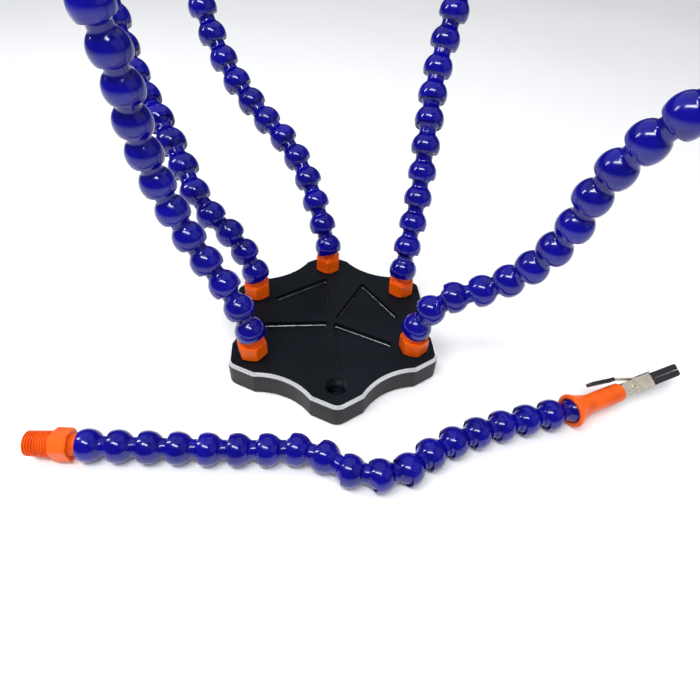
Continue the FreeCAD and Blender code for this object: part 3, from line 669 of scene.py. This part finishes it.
class ClampFinishes(bpy.types.PropertyGroup):
    """Colours and gloss of the clamp's materials."""

    link_blue: colour_setting("Link blue", "Colour of the flexible links", (0.002, 0.0010, 0.2))
    link_gloss: share_setting("Link roughness", "Roughness of the shiniest part of a link", 0.1)
    connector_orange: colour_setting(
        "Connector orange", "Colour of the connectors and clip holders", (0.8, 0.108, 0.0015)
    )
    connector_gloss: share_setting("Connector roughness", "Roughness of the orange plastic", 0.3)
    plate_black: colour_setting(
        "Plate black", "Anodising on top of the base", (0.0042, 0.0064, 0.0095)
    )
    plate_gloss: share_setting("Plate roughness", "Roughness of the anodised top", 0.4)
    side_grey: colour_setting("Side grey", "Bead-blasted side of the base", (0.022, 0.022, 0.023))
    edge_silver: colour_setting("Edge silver", "Bare aluminium of the chamfer", (0.86, 0.87, 0.9))
    rubber_black: colour_setting("Rubber black", "Sleeves and anti-slip pad", (0.013, 0.015, 0.018))
    rubber_gloss: share_setting("Sleeve roughness", "Roughness of the sleeves", 0.36)
    clip_nickel: colour_setting("Clip nickel", "Plating of the crocodile clips", (0.78, 0.71, 0.6))
    clip_gloss: share_setting("Clip roughness", "Roughness of the plating", 0.2)


class SleeveSizes(bpy.types.PropertyGroup):
    """Sizes of the rubber sleeves."""

    wall: length_setting("Wall", "Thickness of the rubber", 0.00062)
    lip_length: length_setting("Lip length", "Length of the thicker band at the open end", 0.0016)
    lip_relief: share_setting("Lip relief", "Share of the wall that the body is thinner by", 0.14)
    jaw_corner: length_setting("Jaw corner", "Rounding of a jaw sleeve's long edges", 0.0005)
    jaw_taper: length_setting("Jaw taper", "How far a jaw sleeve's back leans in at the tip", 0.0009)
    tip_radius: length_setting("Tip radius", "Rounding of a jaw sleeve's tip", 0.0008)
    bite_gap: length_setting("Bite gap", "From the bite to the rubber of a closed jaw", 0.00001)
    lever_corner: length_setting("Lever corner", "Rounding of the lever sleeve's edges", 0.0006)
    lever_tip_radius: length_setting("Lever tip radius", "Rounding of the lever sleeve's end", 0.0005)


class PlateSizes(bpy.types.PropertyGroup):
    """Where one finish of the base plate gives way to the next."""

    port_reach: bpy.props.FloatProperty(
        name="Port reach",
        description="Outer radius of a port's finish over its bore radius",
        subtype="FACTOR",
        default=1.3,
    )
    port_chamfer: length_setting(
        "Port chamfer", "Depth of the anodised chamfer at a port's mouth", 0.0002
    )
    edge_start: length_setting("Edge start", "Radius outside which the plate's edge begins", 0.047)
    fillet_start: length_setting("Fillet start", "Depth below which a pocket's fillet begins", 0.0012)


class StudioSettings(bpy.types.PropertyGroup):
    """Camera, lights and floor."""

    target: bpy.props.FloatVectorProperty(
        name="Target", description="Point that the camera looks at", subtype="TRANSLATION",
        unit="LENGTH", size=3, default=(0.0108, -0.0109, 0.0),
    )
    azimuth: angle_setting("Azimuth", "Camera's turn to the left of the front", 6.41)
    elevation: angle_setting("Elevation", "Camera's height above the bench", 45.43)
    roll: angle_setting("Roll", "Camera's tilt about its own line of sight", 3.12)
    distance: length_setting("Distance", "From the target to the camera", 0.3162)
    lens: bpy.props.FloatProperty(
        name="Lens", description="Focal length", unit="CAMERA", default=26.77
    )
    floor_size: length_setting("Floor size", "Side of the square floor", 14.0)
    floor_colour: colour_setting("Floor colour", "Colour of the floor", (0.93, 0.93, 0.935))
    floor_gloss: share_setting("Floor gloss", "How much the floor reflects", 0.3)
    sky: bpy.props.FloatProperty(
        name="Sky", description="Strength of the even light", subtype="FACTOR", default=0.68
    )
    mirrored_sky: share_setting("Mirrored sky", "Share of the even light seen in reflections", 0.12)
    window_power: power_setting("Window", "Power of the two window panels together", 7.0)
    overhead_power: power_setting("Overhead", "Power of the overhead softbox", 5.0)
    fill_power: power_setting("Fill", "Power of the fill", 1.2)


# ---- studio -------------------------------------------------------------------------------------
# Each panel's azimuth and elevation in degrees and distance in metres, its width and height in
# metres, and the setting and share of it that give its power.
PANELS = {
    "overhead_softbox": ((160.0, 68.0, 1.2), (2.2, 1.6), "overhead_power", 1.0),
    "window_upright": ((100.0, 40.0, 0.9), (0.1, 0.3), "window_power", 0.28),
    "window_wide": ((25.0, 67.0, 0.9), (0.62, 0.13), "window_power", 0.72),
    "right_fill": ((-70.0, 35.0, 1.3), (1.4, 1.0), "fill_power", 1.0),
}
SKY_COLOUR = (0.95, 0.97, 1.0, 1.0)
SENSOR_WIDTH = 36.0
NEAREST = 0.01               # the camera sees nothing nearer than this
FLOOR_SQUARES = 8


def aim(thing, place, target, roll=0.0):
    """Puts a camera or light at a place, looking at the target."""
    towards = (Vector(target) - Vector(place)).normalized()
    turn = towards.to_track_quat("-Z", "Y").to_matrix().to_4x4()
    thing.matrix_world = Matrix.Translation(place) @ turn @ Matrix.Rotation(roll, 4, "Z")


def around(studio, azimuth, elevation, distance):
    """A place at this bearing from the camera's target; azimuth 0 is the front, 90 degrees the left."""
    flat = math.cos(elevation) * distance
    return Vector(studio.target) + Vector(
        (-math.sin(azimuth) * flat, -math.cos(azimuth) * flat, math.sin(elevation) * distance)
    )


def panel_light(name, studio, bearing, size, power):
    """A rectangular softbox that lights the piece and isn't in the picture itself."""
    light = bpy.data.lights.new(name, "AREA")
    light.shape = "RECTANGLE"
    light.size, light.size_y = size
    light.energy = power
    lamp = bpy.data.objects.new(name, light)
    bpy.context.scene.collection.objects.link(lamp)
    azimuth, elevation, distance = bearing
    place = around(studio, math.radians(azimuth), math.radians(elevation), distance)
    aim(lamp, place, studio.target)
    lamp.visible_camera = False


def lay_floor(studio):
    """A large flat floor."""
    mesh_edit = bmesh.new()
    bmesh.ops.create_grid(
        mesh_edit,
        x_segments=FLOOR_SQUARES,
        y_segments=FLOOR_SQUARES,
        size=studio.floor_size / 2.0,
    )
    mesh = bpy.data.meshes.new("studio_floor")
    mesh_edit.to_mesh(mesh)
    mesh_edit.free()
    mesh.materials.append(bench_paper(studio))
    floor = bpy.data.objects.new("studio_floor", mesh)
    bpy.context.scene.collection.objects.link(floor)
    floor.location.z = CAD_BOX[0].z


def light_room(studio):
    """Even pale surroundings that reflections show dimly, and the softbox panels."""
    world = bpy.data.worlds.new("pale_room")
    world.use_nodes = True
    background = world.node_tree.nodes["Background"]
    background.inputs["Color"].default_value = SKY_COLOUR
    rays = world.node_tree.nodes.new("ShaderNodeLightPath")
    strength = world.node_tree.nodes.new("ShaderNodeMapRange")
    strength.inputs["To Min"].default_value = studio.sky
    strength.inputs["To Max"].default_value = studio.sky * studio.mirrored_sky
    world.node_tree.links.new(rays.outputs["Is Glossy Ray"], strength.inputs["Value"])
    world.node_tree.links.new(strength.outputs["Result"], background.inputs["Strength"])
    bpy.context.scene.world = world
    for name, (bearing, size, setting, share) in PANELS.items():
        panel_light(name, studio, bearing, size, share * getattr(studio, setting))


def set_camera(studio):
    """The camera, at its bearing from the target."""
    lens = bpy.data.cameras.new("clamp_camera")
    lens.lens = studio.lens
    lens.sensor_width = SENSOR_WIDTH
    lens.clip_start = NEAREST
    camera = bpy.data.objects.new("clamp_camera", lens)
    bpy.context.scene.collection.objects.link(camera)
    place = around(studio, studio.azimuth, studio.elevation, studio.distance)
    aim(camera, place, studio.target, studio.roll)
    bpy.context.scene.camera = camera
    bpy.context.scene.view_settings.view_transform = "Standard"


# ---- operators ----------------------------------------------------------------------------------
class ClampOperator:
    bl_options = {"REGISTER", "UNDO"}


class CLAMP_OT_finish_base(ClampOperator, bpy.types.Operator):
    """Finish the base plate and its anti-slip pad"""

    bl_idname = "clamp.finish_base"
    bl_label = "Base plate and pad"

    def execute(self, context):
        finish_plate(context.scene.clamp_plate)
        coat(NODES[PAD], "pad")
        return {"FINISHED"}


class CLAMP_OT_finish_links(ClampOperator, bpy.types.Operator):
    """Finish the blue links of all six arms"""

    bl_idname = "clamp.finish_links"
    bl_label = "Links"

    def execute(self, context):
        links = [name for name in NODES if "_link" in name]
        if not links:
            raise RuntimeError("the frame has no links")
        for name in links:
            coat(NODES[name], "link")
        return {"FINISHED"}


class CLAMP_OT_finish_connectors(ClampOperator, bpy.types.Operator):
    """Finish the orange threaded connectors and clip holders"""

    bl_idname = "clamp.finish_connectors"
    bl_label = "Connectors and clip holders"

    def execute(self, context):
        for arm in ARMS:
            coat(NODES[arm + "_connector"], "connector")
            coat(NODES[arm + "_clip_holder"], "connector")
        return {"FINISHED"}


class CLAMP_OT_finish_clips(ClampOperator, bpy.types.Operator):
    """Finish the nickel-plated jaws, rivets and springs of the crocodile clips"""

    bl_idname = "clamp.finish_clips"
    bl_label = "Crocodile clips"

    def execute(self, context):
        for arm in ARMS:
            coat(NODES[arm + "_clip_fixed_jaw"], "nickel")
            coat(NODES[arm + "_clip_moving_jaw"], "nickel")
        coat(NODES[LOOSE_ARM + "_clip_rivet"], "nickel")
        coat(NODES[LOOSE_ARM + "_clip_spring"], "spring")
        return {"FINISHED"}


class CLAMP_OT_build_sleeves(ClampOperator, bpy.types.Operator):
    """Build the rubber sleeves on the jaws and thumb levers of all six clips"""

    bl_idname = "clamp.build_sleeves"
    bl_label = "Rubber sleeves"

    def execute(self, context):
        build_sleeves(context.scene.clamp_sleeves)
        return {"FINISHED"}


class CLAMP_OT_set_stage(ClampOperator, bpy.types.Operator):
    """Lay the floor, light the room and place the camera"""

    bl_idname = "clamp.set_stage"
    bl_label = "Studio"

    def execute(self, context):
        studio = context.scene.clamp_studio
        lay_floor(studio)
        light_room(studio)
        set_camera(studio)
        return {"FINISHED"}


OPERATORS = (
    CLAMP_OT_finish_base,
    CLAMP_OT_finish_links,
    CLAMP_OT_finish_connectors,
    CLAMP_OT_finish_clips,
    CLAMP_OT_build_sleeves,
    CLAMP_OT_set_stage,
)
SETTINGS = {
    "clamp_finishes": ClampFinishes,
    "clamp_sleeves": SleeveSizes,
    "clamp_plate": PlateSizes,
    "clamp_studio": StudioSettings,
}


class CLAMP_PT_workshop(bpy.types.Panel):
    """Lists the clamp's pieces and settings in the sidebar"""

    bl_idname = "CLAMP_PT_workshop"
    bl_label = "Helping Hands Clamp"
    bl_space_type = "VIEW_3D"
    bl_region_type = "UI"
    bl_category = "Clamp"

    def draw(self, context):
        for operator in OPERATORS:
            self.layout.operator(operator.bl_idname)
        for name, group in SETTINGS.items():
            box = self.layout.box()
            box.label(text=group.__doc__)
            for setting in group.__annotations__:
                box.prop(getattr(context.scene, name), setting)


CLASSES = (*SETTINGS.values(), *OPERATORS, CLAMP_PT_workshop)


def register():
    for cls in CLASSES:
        bpy.utils.register_class(cls)
    for name, group in SETTINGS.items():
        setattr(bpy.types.Scene, name, bpy.props.PointerProperty(type=group))


def unregister():
    for name in SETTINGS:
        delattr(bpy.types.Scene, name)
    for cls in reversed(CLASSES):
        bpy.utils.unregister_class(cls)


def main():
    register()
    for operator in OPERATORS:
        group, name = operator.bl_idname.split(".")
        getattr(getattr(bpy.ops, group), name)()


if __name__ == "__main__":
    main()
